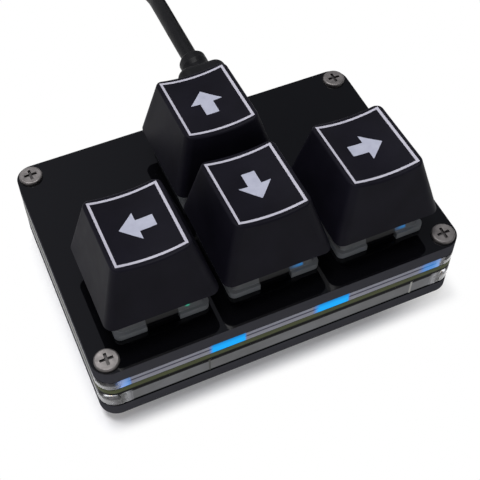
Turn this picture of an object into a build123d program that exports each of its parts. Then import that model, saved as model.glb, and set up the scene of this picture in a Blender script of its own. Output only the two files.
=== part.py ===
# A four-key programmable keypad: black and clear acrylic sheets screwed round a circuit board,
# four plunger key switches in an inverted T, and a lead that plugs into the back.
# Millimetres, standing on a table at Z 0: +X to the right, +Y towards the lead, +Z up,
# with the origin under the middle of the case.
import math
import os

from build123d import *

os.makedirs("parts", exist_ok=True)

# Case sheets, from the table up; the margins are outside the switch flanges
case_side_margin = 4.9
case_end_margin = 4.925
case_corner = 3.0
foot_height = 2.5
bottom_sheet = 2.8
lower_gap = 3.4
board_sheet = 1.6
upper_gap = 2.3
top_sheet = 2.7

# Case screws, threaded inserts and feet
screw_inset = 2.5
screw_radius = 1.0
screw_clearance = 0.1
screw_head_radius = 2.0
screw_head_height = 0.6
screw_head_round = 0.3
screw_end_recess = 0.3
recess_length = 2.2
recess_width = 0.5
recess_depth = 0.45
insert_radius = 1.6
insert_clearance = 0.05
foot_radius = 4.0
foot_inset = 7.5
foot_taper = 8.0

# Clear spacer frames; the gaps are outside the switch cut-outs
window_corner = 1.0
upper_side_gap = 0.6
lower_side_gap = 0.7
lower_end_gap = 1.325
rib_place = -12.5
rib_width = 2.0

# Keys: an inverted T on the standard pitch
key_pitch = 19.05
key_travel = 4.0

# Switch housing
cutout_side = 14.0
cutout_clearance = 0.05
cutout_corner = 0.4
flange_side = 15.6
flange_corner = 1.0
flange_height = 1.2
notch_width = 5.4
notch_depth = 0.75
base_floor = 1.2
base_cavity = 11.0
boss_radius = 2.0
boss_length = 3.0
boss_clearance = 0.05
cover_foot = 14.6
cover_corner = 1.2
cover_top_length = 11.2
cover_top_width = 10.2
cover_height = 5.4
cover_wall = 1.1

# Switch stem and spring
stem_length = 7.0
stem_width = 5.6
stem_clearance = 0.1
shoulder_length = 8.6
shoulder_width = 7.2
shoulder_clearance = 0.05
slider_lift = 0.8
cross_length = 4.0
cross_bar_x = 1.3
cross_bar_y = 1.1
cross_height = 3.6
rod_radius = 1.1
rod_reach = 1.6
guide_radius = 1.7
guide_height = 3.8
guide_clearance = 0.1
spring_inner = 1.8
spring_outer = 2.2
spring_clearance = 0.2
pocket_roof = 1.05

# Switch contacts
pin_width = 1.5
pin_thickness = 0.5
pin_length = 3.3
pin_clearance = 0.05
pin_hole_radius = 0.85
front_pin = (-3.81, 2.54)
back_pin = (2.54, 5.08)
contact_lift = 0.05
leaf_place = 4.5
leaf_top = 6.0

# Keycap
keycap_side = 18.4
keycap_corner = 1.6
keycap_lift = 5.6
keycap_front = 10.7
keycap_back = 9.95
keycap_top_length = 12.4
keycap_top_width = 14.5
keycap_top_corner = 1.3
keycap_top_shift = 0.75
keycap_wall = 1.4
keycap_roof = 1.5
keycap_inner_corner = 0.8
keycap_edge = 0.35
dish_depth = 0.9
post_radius = 2.75
cross_clearance = 0.05
cross_spare = 0.2

# Lights
key_led_length = 3.2
key_led_width = 1.9
key_led_height = 1.0
key_led_place = -4.9
key_led_clearance = 0.3
led_lens_radius = 0.7
led_lens_depth = 0.2
edge_led_length = 3.8
edge_led_width = 1.2
edge_led_height = 1.6
edge_led_clearance = 0.15
edge_led_gap = 0.2
outer_led_inset = 2.25

# Parts under the board
chip_side = 7.0
chip_height = 0.9
chip_place = (12.5, 2.0)
crystal_size = (5.0, 3.2, 1.1)
crystal_place = (20.5, 5.5)
capacitor_size = (2.0, 1.25, 1.0)
capacitor_places = ((19.0, 1.5), (6.5, -1.5), (15.5, 9.5))

# Socket and plug at the back of the board
socket_place = 9.9
socket_width = 7.6
socket_height = 2.65
socket_depth = 5.6
socket_wall = 0.3
socket_corner = 0.6
socket_slot_clearance = 0.7
tongue_width = 3.6
tongue_thickness = 0.6
tongue_recess = 1.0
plug_fit = 0.1
plug_gap = 0.6
plug_wall = 0.25
plug_insert = 4.8
plug_width = 10.0
plug_height = 7.0
plug_corner = 2.4
plug_length = 16.3
plug_shoulder = 1.5
plug_front_round = 0.6
neck_waist = 2.45
neck_radius = 2.8
neck_length = 4.2
neck_round = 0.5

# Lead, its coil and the tie
cable_radius = 1.65
coil_lift = 1.0
coil_pitch = 4.8
coil_layer = 4.4
coil_middle = 19.25
coil_quarters = 13
climb_quarters = 2
coil_place_y = 89.0
coil_end = 3.5
arc_share = 0.45
lead_drift = -2.3
lead_straight = 8.0
lead_sags = ((0.4, 18.0, 0.9), (1.0, 25.5, 2.8))
lead_landing = 5.0
tail_runs = (8.0, 12.7, 12.7, 12.7, 12.7, 8.0)
tail_rises = (0.0, 0.1, 0.4, 0.85, 1.0, 1.0)
tie_thickness = 0.7
tie_gap = 0.3
tie_width = 6.0
tie_corner = 1.5
tie_angle = 230.0

# Host plug on the far end
host_width = 15.6
host_height = 8.0
host_length = 25.0
host_corner = 1.8
host_neck_length = 5.0
host_gap = 0.3
host_shell_width = 12.0
host_shell_height = 4.5
host_shell_length = 12.0
host_shell_wall = 0.35
latch_length = 2.0
latch_width = 2.5
latch_spacing = 4.8
latch_place = 5.2
host_tongue_height = 1.9
host_tongue_clearance = 0.3
host_tongue_recess = 0.6

# Sizes, heights and places that follow
case_length = 2 * key_pitch + flange_side + 2 * case_side_margin
case_width = key_pitch + flange_side + 2 * case_end_margin
cutouts_x = key_pitch + cutout_side / 2
cutouts_y = key_pitch / 2 + cutout_side / 2
bottom_z = foot_height
lower_z = bottom_z + bottom_sheet
board_z = lower_z + lower_gap
upper_z = board_z + board_sheet
top_z = upper_z + upper_gap
face_z = top_z + top_sheet
screw_spacing_x = case_length - 2 * screw_inset
screw_spacing_y = case_width - 2 * screw_inset
key_places = {
    "up": (0.0, key_pitch / 2),
    "left": (-key_pitch, -key_pitch / 2),
    "down": (0.0, -key_pitch / 2),
    "right": (key_pitch, -key_pitch / 2),
}
flange_top = face_z + flange_height
housing_top = flange_top + cover_height
floor_z = upper_z + base_floor
roof_z = housing_top - cover_wall
shoulder_top = roof_z - shoulder_clearance
slider_bottom = floor_z + key_travel + slider_lift
pocket_top = shoulder_top - pocket_roof
guide_top = floor_z + guide_height
rod_bottom = guide_top - rod_reach + base_floor
skirt_z = face_z + keycap_lift
edge_led_y = -cutouts_y - edge_led_gap - edge_led_width / 2
outer_led_x = screw_spacing_x / 2 - outer_led_inset
edge_led_xs = (-outer_led_x, -key_pitch / 2, key_pitch / 2, outer_led_x)
socket_z = board_z - socket_height / 2
mouth_y = case_width / 2
plug_front = mouth_y + plug_gap
plug_back = plug_front + plug_length
neck_end = plug_back + neck_length


def save(piece, name):
    """Label a finished piece and write it under its name."""
    piece.label = name
    export_step(piece, f"parts/{name}.step")


def at(place, height):
    """Level plane with its origin over a place in plan."""
    return Plane(origin=(place[0], place[1], height))


def facing(x, y, z, heading):
    """Upright plane that faces along +Y or -Y (heading 1 or -1), with its own Y up."""
    return Plane(origin=(x, y, z), x_dir=(-heading, 0, 0), z_dir=(0, heading, 0))


def sheet_outline(hole_radius):
    """Outline of the case with its four corner screw holes."""
    RectangleRounded(case_length, case_width, case_corner)
    with GridLocations(screw_spacing_x, screw_spacing_y, 2, 2):
        Circle(hole_radius, mode=Mode.SUBTRACT)


def window(x_low, x_high, y_low, y_high):
    """Cut a round-cornered window between its four sides."""
    with Locations(((x_low + x_high) / 2, (y_low + y_high) / 2)):
        RectangleRounded(x_high - x_low, y_high - y_low, window_corner, mode=Mode.SUBTRACT)


# Bottom sheet
with BuildPart() as bottom_plate:
    with BuildSketch(Plane.XY.offset(bottom_z)):
        sheet_outline(insert_radius + insert_clearance)
    extrude(amount=bottom_sheet)
save(bottom_plate.part, "bottom_plate")

# Lower clear spacer: two windows with a rib between, open behind for the socket
screw_hole = screw_radius + screw_clearance
lower_x = cutouts_x + lower_side_gap
lower_y = cutouts_y + lower_end_gap
with BuildPart() as lower_spacer:
    with BuildSketch(Plane.XY.offset(lower_z)):
        sheet_outline(screw_hole)
        window(-lower_x, rib_place - rib_width / 2, -lower_y, lower_y)
        window(rib_place + rib_width / 2, lower_x, -lower_y, lower_y)
        with Locations((socket_place, mouth_y)):
            Rectangle(
                socket_width + 2 * socket_slot_clearance,
                2 * (mouth_y - lower_y + window_corner),
                mode=Mode.SUBTRACT,
            )
    extrude(amount=lower_gap)
save(lower_spacer.part, "lower_spacer")

# Circuit board with the switch holes
with BuildPart() as circuit_board:
    with BuildSketch(Plane.XY.offset(board_z)):
        sheet_outline(screw_hole)
        for x, y in key_places.values():
            with Locations((x, y)):
                Circle(boss_radius + boss_clearance, mode=Mode.SUBTRACT)
            with Locations((x + front_pin[0], y + front_pin[1]), (x + back_pin[0], y + back_pin[1])):
                Circle(pin_hole_radius, mode=Mode.SUBTRACT)
    extrude(amount=board_sheet)
save(circuit_board.part, "circuit_board")

# Upper clear spacer: one window, with pockets for the edge lights
upper_x = cutouts_x + upper_side_gap
upper_y = cutouts_y + edge_led_gap + edge_led_width + edge_led_clearance
with BuildPart() as upper_spacer:
    with BuildSketch(Plane.XY.offset(upper_z)):
        sheet_outline(screw_hole)
        window(-upper_x, upper_x, -upper_y, upper_y)
        with Locations(*[(x, edge_led_y) for x in edge_led_xs]):
            Rectangle(
                edge_led_length + 2 * edge_led_clearance,
                edge_led_width + 2 * edge_led_clearance,
                mode=Mode.SUBTRACT,
            )
    extrude(amount=upper_gap)
save(upper_spacer.part, "upper_spacer")

# Top sheet with the four switch cut-outs
with BuildPart() as top_plate:
    with BuildSketch(Plane.XY.offset(top_z)):
        sheet_outline(screw_hole)
        with Locations(*key_places.values()):
            RectangleRounded(cutout_side, cutout_side, cutout_corner, mode=Mode.SUBTRACT)
    extrude(amount=top_sheet)
save(top_plate.part, "top_plate")

# Long flat-headed screws with cross recesses, through every sheet into the inserts
screw_length = face_z - bottom_z - screw_end_recess
with BuildPart() as case_screws:
    with BuildSketch(Plane.XY.offset(face_z)):
        with GridLocations(screw_spacing_x, screw_spacing_y, 2, 2):
            Circle(screw_head_radius)
    extrude(amount=screw_head_height)
    fillet(case_screws.edges().group_by(Axis.Z)[-1], screw_head_round)
    with BuildSketch(Plane.XY.offset(face_z)):
        with GridLocations(screw_spacing_x, screw_spacing_y, 2, 2):
            Circle(screw_radius)
    extrude(amount=-screw_length)
    with BuildSketch(Plane.XY.offset(face_z + screw_head_height)):
        with GridLocations(screw_spacing_x, screw_spacing_y, 2, 2):
            Rectangle(recess_length, recess_width)
            Rectangle(recess_width, recess_length)
    extrude(amount=-recess_depth, mode=Mode.SUBTRACT)
save(case_screws.part, "case_screws")

# Threaded inserts pressed into the bottom sheet
with BuildPart() as case_inserts:
    with BuildSketch(Plane.XY.offset(bottom_z)):
        with GridLocations(screw_spacing_x, screw_spacing_y, 2, 2):
            Circle(insert_radius)
            Circle(screw_radius + insert_clearance, mode=Mode.SUBTRACT)
    extrude(amount=bottom_sheet)
save(case_inserts.part, "case_inserts")

# Rubber feet, tapered towards the table
with BuildPart() as rubber_feet:
    with BuildSketch(Plane.XY.offset(bottom_z)):
        with GridLocations(case_length - 2 * foot_inset, case_width - 2 * foot_inset, 2, 2):
            Circle(foot_radius)
    extrude(amount=-foot_height, taper=foot_taper)
save(rubber_feet.part, "rubber_feet")


def cross(clearance):
    """Cross of the stem's top, or of the slot that it fits."""
    Rectangle(cross_length + 2 * clearance, cross_bar_x + 2 * clearance)
    Rectangle(cross_bar_y + 2 * clearance, cross_length + 2 * clearance)


def make_keycap(place):
    """Hollow keycap: leaning sides, a top tilted back with a dish along it, and a post with a cross slot."""
    top_middle = skirt_z + (keycap_front + keycap_back) / 2
    tilt = math.degrees(math.atan2(keycap_back - keycap_front, keycap_top_width))
    top = Plane(origin=(place[0], place[1] + keycap_top_shift, top_middle)).rotated((tilt, 0, 0))
    half_length = keycap_top_length / 2
    dish_radius = (half_length**2 + dish_depth**2) / (2 * dish_depth)
    dish_centre = top.origin + top.z_dir * (dish_radius - dish_depth)
    post_z = housing_top
    post_height = top_middle - dish_depth - keycap_roof / 2 - post_z
    with BuildPart() as keycap:
        with BuildSketch(at(place, skirt_z)):
            RectangleRounded(keycap_side, keycap_side, keycap_corner)
        with BuildSketch(top):
            RectangleRounded(keycap_top_length, keycap_top_width, keycap_top_corner)
        loft()
        with BuildSketch(Plane(origin=dish_centre, x_dir=top.x_dir, z_dir=top.y_dir)):
            Circle(dish_radius)
        extrude(amount=keycap_side, both=True, mode=Mode.SUBTRACT)
        fillet(keycap.faces().filter_by(GeomType.CYLINDER).sort_by(SortBy.AREA)[-1].edges(), keycap_edge)
        with BuildSketch(at(place, skirt_z)):
            inner_side = keycap_side - 2 * keycap_wall
            RectangleRounded(inner_side, inner_side, keycap_inner_corner)
        with BuildSketch(top.offset(-dish_depth - keycap_roof)):
            RectangleRounded(
                keycap_top_length - 2 * keycap_wall,
                keycap_top_width - 2 * keycap_wall,
                keycap_inner_corner,
            )
        loft(mode=Mode.SUBTRACT)
        with BuildSketch(at(place, post_z)):
            Circle(post_radius)
        extrude(amount=post_height)
        with BuildSketch(at(place, post_z)):
            cross(cross_clearance)
        extrude(amount=cross_height + cross_spare, mode=Mode.SUBTRACT)
    return keycap.part


def make_stem(place):
    """Sliding stem: shouldered block with the spring's pocket and guide rod below and the cross on top."""
    with BuildPart() as stem:
        with BuildSketch(at(place, slider_bottom)):
            Rectangle(shoulder_length, shoulder_width)
        extrude(amount=shoulder_top - slider_bottom)
        with BuildSketch(at(place, shoulder_top)):
            Rectangle(stem_length, stem_width)
        extrude(amount=housing_top - shoulder_top)
        with BuildSketch(at(place, housing_top)):
            cross(0)
        extrude(amount=cross_height)
        with BuildSketch(at(place, slider_bottom)):
            Circle(spring_outer + spring_clearance)
        extrude(amount=pocket_top - slider_bottom, mode=Mode.SUBTRACT)
        with BuildSketch(at(place, rod_bottom)):
            Circle(rod_radius)
        extrude(amount=pocket_top - rod_bottom)
    return stem.part


def make_switch_base(place):
    """Lower housing: body in the top sheet's cut-out, tabbed flange on the sheet, boss in the board."""
    body_side = cutout_side - 2 * cutout_clearance
    bore = rod_radius + guide_clearance
    with BuildPart() as base:
        with BuildSketch(at(place, upper_z)):
            RectangleRounded(body_side, body_side, cutout_corner)
        extrude(amount=face_z - upper_z)
        with BuildSketch(at(place, face_z)):
            RectangleRounded(flange_side, flange_side, flange_corner)
            with GridLocations(0, flange_side - notch_depth, 1, 2):
                Rectangle(notch_width, notch_depth, mode=Mode.SUBTRACT)
        extrude(amount=flange_height)
        with BuildSketch(at(place, floor_z)):
            Rectangle(base_cavity, base_cavity)
        extrude(amount=flange_top - floor_z, mode=Mode.SUBTRACT)
        with BuildSketch(at(place, floor_z)):
            Circle(guide_radius)
        extrude(amount=guide_height)
        with BuildSketch(at(place, upper_z)):
            Circle(boss_radius)
        extrude(amount=-boss_length)
        with BuildSketch(at(place, upper_z - boss_length + base_floor)):
            Circle(bore)
        extrude(amount=guide_top - upper_z + boss_length - base_floor, mode=Mode.SUBTRACT)
        with BuildSketch(at(place, upper_z)):
            with Locations((0, key_led_place)):
                Rectangle(key_led_length + 2 * key_led_clearance, key_led_width + 2 * key_led_clearance)
            with Locations(front_pin, back_pin):
                Rectangle(pin_width + 2 * pin_clearance, pin_thickness + 2 * pin_clearance)
        extrude(amount=base_floor, mode=Mode.SUBTRACT)
    return base.part


def make_switch_cover(place):
    """Upper housing: hollow four-sided cap on the flange, with the stem's opening in its roof."""
    with BuildPart() as cover:
        with BuildSketch(at(place, flange_top)):
            RectangleRounded(cover_foot, cover_foot, cover_corner)
        with BuildSketch(at(place, housing_top)):
            RectangleRounded(cover_top_length, cover_top_width, cover_corner)
        loft()
        with BuildSketch(at(place, flange_top)):
            Rectangle(cover_foot - 2 * cover_wall, cover_foot - 2 * cover_wall)
        with BuildSketch(at(place, roof_z)):
            Rectangle(cover_top_length - 2 * cover_wall, cover_top_width - 2 * cover_wall)
        loft(mode=Mode.SUBTRACT)
        with BuildSketch(at(place, roof_z)):
            Rectangle(stem_length + 2 * stem_clearance, stem_width + 2 * stem_clearance)
        extrude(amount=cover_wall, mode=Mode.SUBTRACT)
    return cover.part


def make_spring(place):
    """Room of the return spring, from the base's floor to the stem's pocket."""
    with BuildPart() as spring:
        with BuildSketch(at(place, floor_z)):
            Circle(spring_outer)
            Circle(spring_inner, mode=Mode.SUBTRACT)
        extrude(amount=pocket_top - floor_z)
    return spring.part


def make_contacts(place):
    """Two contacts: pins through the board, one rising straight and one stepped back along the floor."""
    pin_end = upper_z - pin_length
    foot_low = floor_z + contact_lift
    foot_high = foot_low + pin_thickness
    leaf_high = upper_z + leaf_top
    half = pin_thickness / 2
    front_y = place[1] + front_pin[1]
    leaf_y = place[1] + leaf_place
    with BuildPart() as contacts:
        front_side = Plane(origin=(place[0] + front_pin[0], 0, 0), x_dir=(0, 1, 0), z_dir=(1, 0, 0))
        with BuildSketch(front_side):
            with BuildLine():
                Polyline(
                    (front_y - half, pin_end),
                    (front_y + half, pin_end),
                    (front_y + half, foot_low),
                    (leaf_y + half, foot_low),
                    (leaf_y + half, leaf_high),
                    (leaf_y - half, leaf_high),
                    (leaf_y - half, foot_high),
                    (front_y - half, foot_high),
                    close=True,
                )
            make_face()
        extrude(amount=pin_width / 2, both=True)
        with BuildSketch(at((place[0] + back_pin[0], place[1] + back_pin[1]), pin_end)):
            Rectangle(pin_width, pin_thickness)
        extrude(amount=leaf_high - pin_end)
    return contacts.part


key_makers = {
    "keycap": make_keycap,
    "stem": make_stem,
    "switch_base": make_switch_base,
    "switch_cover": make_switch_cover,
    "spring": make_spring,
    "contacts": make_contacts,
}
for key, place in key_places.items():
    for piece, make in key_makers.items():
        save(make(place), f"{key}_{piece}")

# A light under each switch and four along the front edge of the board
with BuildPart() as key_leds:
    led_places = [(x, y + key_led_place) for x, y in key_places.values()]
    with BuildSketch(Plane.XY.offset(upper_z)):
        with Locations(*led_places):
            Rectangle(key_led_length, key_led_width)
    extrude(amount=key_led_height)
    with BuildSketch(Plane.XY.offset(upper_z + key_led_height)):
        with Locations(*led_places):
            Circle(led_lens_radius)
    extrude(amount=-led_lens_depth, mode=Mode.SUBTRACT)
save(key_leds.part, "key_leds")

with BuildPart() as edge_leds:
    with BuildSketch(Plane.XY.offset(upper_z)):
        with Locations(*[(x, edge_led_y) for x in edge_led_xs]):
            Rectangle(edge_led_length, edge_led_width)
    extrude(amount=edge_led_height)
save(edge_leds.part, "edge_leds")

# Controller, crystal and capacitors under the board
with BuildPart() as controller_chip:
    with BuildSketch(at(chip_place, board_z)):
        Rectangle(chip_side, chip_side)
    extrude(amount=-chip_height)
save(controller_chip.part, "controller_chip")

with BuildPart() as board_parts:
    with BuildSketch(at(crystal_place, board_z)):
        Rectangle(crystal_size[0], crystal_size[1])
    extrude(amount=-crystal_size[2])
    with BuildSketch(Plane.XY.offset(board_z)):
        with Locations(*capacitor_places):
            Rectangle(capacitor_size[0], capacitor_size[1])
    extrude(amount=-capacitor_size[2])
save(board_parts.part, "board_parts")

# Socket under the board's back edge, open to the back, with its tongue
inner_width = socket_width - 2 * socket_wall
inner_height = socket_height - 2 * socket_wall
with BuildPart() as usb_socket:
    with BuildSketch(facing(socket_place, mouth_y, socket_z, -1)):
        RectangleRounded(socket_width, socket_height, socket_corner)
    extrude(amount=socket_depth)
    with BuildSketch(facing(socket_place, mouth_y, socket_z, -1)):
        RectangleRounded(inner_width, inner_height, socket_corner - socket_wall)
    extrude(amount=socket_depth - socket_wall, mode=Mode.SUBTRACT)
    with BuildSketch(facing(socket_place, mouth_y - tongue_recess, socket_z, -1)):
        Rectangle(tongue_width, tongue_thickness)
    extrude(amount=socket_depth - tongue_recess)
save(usb_socket.part, "usb_socket")

# Plug: metal shell in the socket, moulded body and necked strain relief behind
shell_width = inner_width - 2 * plug_fit
shell_height = inner_height - 2 * plug_fit
with BuildPart() as plug_shell:
    with BuildSketch(facing(socket_place, plug_front, socket_z, -1)):
        RectangleRounded(shell_width, shell_height, socket_corner - socket_wall)
        Rectangle(shell_width - 2 * plug_wall, shell_height - 2 * plug_wall, mode=Mode.SUBTRACT)
    extrude(amount=plug_gap + plug_insert)
save(plug_shell.part, "plug_shell")


def neck_profile(length, radius, waist):
    """Half section of a strain relief: a waist next to the plug body, then a bead with round corners."""
    Polygon(
        (0, 0),
        (0, waist),
        (length / 4, waist),
        (length / 2, radius),
        (length - neck_round, radius),
        (length, waist),
        (length, 0),
        align=None,
    )


with BuildPart() as plug_body:
    with BuildSketch(facing(socket_place, plug_front, socket_z, 1)):
        RectangleRounded(plug_width, plug_height, plug_corner)
    extrude(amount=plug_length)
    fillet(plug_body.edges().group_by(Axis.Y)[-1], plug_shoulder)
    fillet(plug_body.edges().group_by(Axis.Y)[0], plug_front_round)
    with BuildSketch(Plane(origin=(socket_place, plug_back, socket_z), x_dir=(0, 1, 0), z_dir=(1, 0, 0))):
        neck_profile(neck_length, neck_radius, neck_waist)
    revolve(axis=Axis((socket_place, plug_back, socket_z), (0, 1, 0)))
save(plug_body.part, "plug_body")

# Winding of the coil: in along the lower layer, up in half a turn, and out along the upper layer
coil_outer = coil_middle + coil_pitch * coil_quarters / 8
coil_inner = coil_middle - coil_pitch * coil_quarters / 8
coil_low = coil_lift + cable_radius
coil_high = coil_low + coil_layer
coil_x = socket_place + lead_drift + coil_outer


def winding_point(angle, radius, height, shrink):
    """Point and direction on the winding; it runs clockwise, and shrink is the radius lost per radian."""
    point = Vector(
        coil_x + radius * math.cos(angle),
        coil_place_y + radius * math.sin(angle),
        height,
    )
    along = Vector(math.sin(angle), -math.cos(angle), 0) * radius
    inward = Vector(math.cos(angle), math.sin(angle), 0) * -shrink
    return point, (along + inward).normalized()


def biarc(start, end):
    """Two arcs that join two points with their directions."""
    (start_point, start_way), (end_point, end_way) = start, end
    span = end_point - start_point
    spread = 1 - start_way.dot(end_way)
    both = span.dot(start_way + end_way)
    reach = (math.sqrt(both**2 + 2 * spread * span.dot(span)) - both) / (2 * spread)
    first = start_point + start_way * reach
    second = end_point - end_way * reach
    middle = (first + second) * 0.5
    TangentArc(start_point, middle, tangent=start_way)
    TangentArc(middle, end_point, tangent=second - first)


quarter = math.pi / 2
shrink_rate = coil_pitch / (2 * math.pi)
stations = []
for step in range(coil_quarters + 1):
    settled = step in (0, coil_quarters)
    radius = coil_outer - coil_pitch * step / 4
    stations.append(
        winding_point(math.pi - step * quarter, radius, coil_low, 0 if settled else shrink_rate)
    )
upper_start = math.pi - (coil_quarters + climb_quarters) * quarter
for step in range(coil_quarters + 1):
    settled = step in (0, coil_quarters)
    radius = coil_inner + coil_pitch * step / 4
    stations.append(
        winding_point(upper_start - step * quarter, radius, coil_high, 0 if settled else -shrink_rate)
    )
coil_entry = stations[0][0] - stations[0][1] * coil_end
coil_exit = stations[-1][0] + stations[-1][1] * coil_end


def least_self_gap(wire, turns, diameter):
    """Least gap between a wound tube's turns, on points at least half a turn apart."""
    points_per_turn = 48
    count = int(points_per_turn * turns)
    points = [wire.position_at(step / count) for step in range(count + 1)]
    apart = points_per_turn // 2
    gaps = [
        (points[low] - points[high]).length
        for low in range(count + 1)
        for high in range(low + apart, count + 1)
    ]
    return min(gaps) - diameter


with BuildPart() as cable_coil:
    with BuildLine() as winding:
        Line(coil_entry, stations[0][0])
        for start, end in zip(stations, stations[1:]):
            biarc(start, end)
        Line(stations[-1][0], coil_exit)
    with BuildSketch(Plane(origin=coil_entry, z_dir=stations[0][1])):
        Circle(cable_radius)
    sweep()
save(cable_coil.part, "cable_coil")
coil_turns = (2 * coil_quarters + climb_quarters) / 4
coil_wire = winding.wires()[0]
coil_gap = least_self_gap(coil_wire, coil_turns, 2 * cable_radius)
print("coil: turns", coil_turns, "length", round(coil_wire.length, 1), "self gap", round(coil_gap, 2))


def arc_radii(points):
    """Largest tangent arc at each corner of a route that leaves a tenth of each run straight."""
    radii = []
    for before, corner, after in zip(points, points[1:], points[2:]):
        run_in = Vector(*corner) - Vector(*before)
        run_out = Vector(*after) - Vector(*corner)
        half_turn = math.radians(run_in.get_angle(run_out)) / 2
        radii.append(arc_share * min(run_in.length, run_out.length) / math.tan(half_turn))
    return radii


def make_cable(points, name):
    """Round tube along straight runs joined by tangent arcs."""
    radii = arc_radii(points)
    with BuildPart() as cable:
        with BuildLine() as route:
            FilletPolyline(*points, radius=radii)
        path = route.wires()[0]
        with BuildSketch(Plane(origin=path.position_at(0), z_dir=path.tangent_at(0))):
            Circle(cable_radius)
        sweep()
    tube_volume = math.pi * cable_radius**2 * path.length
    print(name, "length", round(path.length, 1), "radii", [round(r, 1) for r in radii])
    print(name, "volume over section times length", round(cable.part.volume / tube_volume, 4))
    return cable.part


# Lead from the strain relief down to the table and into the coil
lead_points = [
    (socket_place, neck_end, socket_z),
    (socket_place, neck_end + lead_straight, socket_z),
    *[(socket_place + aside, neck_end + along, socket_z - down) for aside, along, down in lead_sags],
    (coil_entry.X, coil_entry.Y - lead_landing, coil_low),
    (coil_entry.X, coil_entry.Y, coil_low),
]
save(make_cable(lead_points, "cable"), "cable")

# Tail from the coil, turning back over it to the host plug that lies on it
host_z = coil_high + cable_radius + host_gap + host_height / 2
tail_points = [(coil_exit.X, coil_exit.Y, coil_high)]
tail_heading = 90.0
for run, rise in zip(tail_runs, tail_rises):
    x, y, z = tail_points[-1]
    way = math.radians(tail_heading)
    tail_points.append(
        (
            x + run * math.cos(way),
            y + run * math.sin(way),
            coil_high + rise * (host_z - coil_high),
        )
    )
    tail_heading -= 180.0 / (len(tail_runs) - 1)
save(make_cable(tail_points, "cable_tail"), "cable_tail")

# Tie round the turns of the coil
tie_turn = math.radians(tie_angle)
tie_inner = coil_inner - cable_radius - tie_gap - tie_width**2 / (8 * coil_inner)
tie_outer = coil_outer + cable_radius + tie_gap
tie_low = tie_thickness
tie_high = coil_high + cable_radius + tie_gap
tie_middle = (tie_inner + tie_outer) / 2
tie_plane = Plane(
    origin=(
        coil_x + tie_middle * math.cos(tie_turn),
        coil_place_y + tie_middle * math.sin(tie_turn),
        (tie_low + tie_high) / 2,
    ),
    x_dir=(math.cos(tie_turn), math.sin(tie_turn), 0),
    z_dir=(math.sin(tie_turn), -math.cos(tie_turn), 0),
)
with BuildPart() as coil_tie:
    with BuildSketch(tie_plane):
        RectangleRounded(
            tie_outer - tie_inner + 2 * tie_thickness,
            tie_high - tie_low + 2 * tie_thickness,
            tie_corner,
        )
        RectangleRounded(
            tie_outer - tie_inner,
            tie_high - tie_low,
            tie_corner - tie_thickness,
            mode=Mode.SUBTRACT,
        )
    extrude(amount=tie_width / 2, both=True)
save(coil_tie.part, "coil_tie")

# Host plug on the coil: moulded body with its neck, metal shell with latch windows and the tongue inside
host_x, host_start = tail_points[-1][0], tail_points[-1][1]
host_back = host_start - host_neck_length
host_front = host_back - host_length
with BuildPart() as host_plug_body:
    with BuildSketch(facing(host_x, host_back, host_z, -1)):
        RectangleRounded(host_width, host_height, host_corner)
    extrude(amount=host_length)
    fillet(host_plug_body.edges().group_by(Axis.Y)[-1], plug_shoulder)
    fillet(host_plug_body.edges().group_by(Axis.Y)[0], plug_front_round)
    with BuildSketch(Plane(origin=(host_x, host_back, host_z), x_dir=(0, 1, 0), z_dir=(1, 0, 0))):
        neck_profile(host_neck_length, neck_radius, neck_waist)
    revolve(axis=Axis((host_x, host_back, host_z), (0, 1, 0)))
save(host_plug_body.part, "host_plug_body")

with BuildPart() as host_plug_shell:
    with BuildSketch(facing(host_x, host_front, host_z, -1)):
        Rectangle(host_shell_width, host_shell_height)
        offset(amount=-host_shell_wall, kind=Kind.INTERSECTION, mode=Mode.SUBTRACT)
    extrude(amount=host_shell_length)
    host_tip = host_front - host_shell_length
    with BuildSketch(at((host_x, host_tip + latch_place), host_z)):
        with GridLocations(latch_spacing, 0, 2, 1):
            Rectangle(latch_width, latch_length)
    extrude(amount=host_shell_height, both=True, mode=Mode.SUBTRACT)
save(host_plug_shell.part, "host_plug_shell")

host_room_width = host_shell_width - 2 * (host_shell_wall + host_tongue_clearance)
host_room_top = host_z + host_shell_height / 2 - host_shell_wall
host_tongue_z = host_room_top - host_tongue_clearance - host_tongue_height / 2
with BuildPart() as host_plug_tongue:
    with BuildSketch(facing(host_x, host_front, host_tongue_z, -1)):
        Rectangle(host_room_width, host_tongue_height)
    extrude(amount=host_shell_length - host_tongue_recess)
save(host_plug_tongue.part, "host_plug_tongue")
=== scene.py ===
"""Looks of a four-key programmable keypad: black and clear acrylic round a lit board, with a data lead.

Metres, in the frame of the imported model: +X to the right, +Y towards the lead, +Z up, table at Z 0.
"""
import math

import bmesh
import bpy
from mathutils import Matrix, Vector


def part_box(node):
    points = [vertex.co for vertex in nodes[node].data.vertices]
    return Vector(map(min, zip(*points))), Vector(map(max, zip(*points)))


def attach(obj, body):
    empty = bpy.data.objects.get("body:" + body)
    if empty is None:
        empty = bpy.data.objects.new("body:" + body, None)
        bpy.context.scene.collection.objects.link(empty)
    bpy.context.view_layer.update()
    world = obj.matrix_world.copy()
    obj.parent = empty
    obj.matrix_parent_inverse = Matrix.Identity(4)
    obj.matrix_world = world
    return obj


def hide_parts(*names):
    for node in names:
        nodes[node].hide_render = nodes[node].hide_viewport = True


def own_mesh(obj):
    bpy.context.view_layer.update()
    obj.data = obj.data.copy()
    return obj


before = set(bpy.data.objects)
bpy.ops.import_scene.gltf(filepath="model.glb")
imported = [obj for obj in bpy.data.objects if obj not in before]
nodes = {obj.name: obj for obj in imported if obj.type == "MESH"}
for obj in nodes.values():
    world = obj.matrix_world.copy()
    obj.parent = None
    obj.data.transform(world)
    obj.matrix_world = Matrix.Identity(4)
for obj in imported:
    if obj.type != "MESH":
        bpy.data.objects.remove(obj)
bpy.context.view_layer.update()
scene = bpy.context.scene
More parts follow.
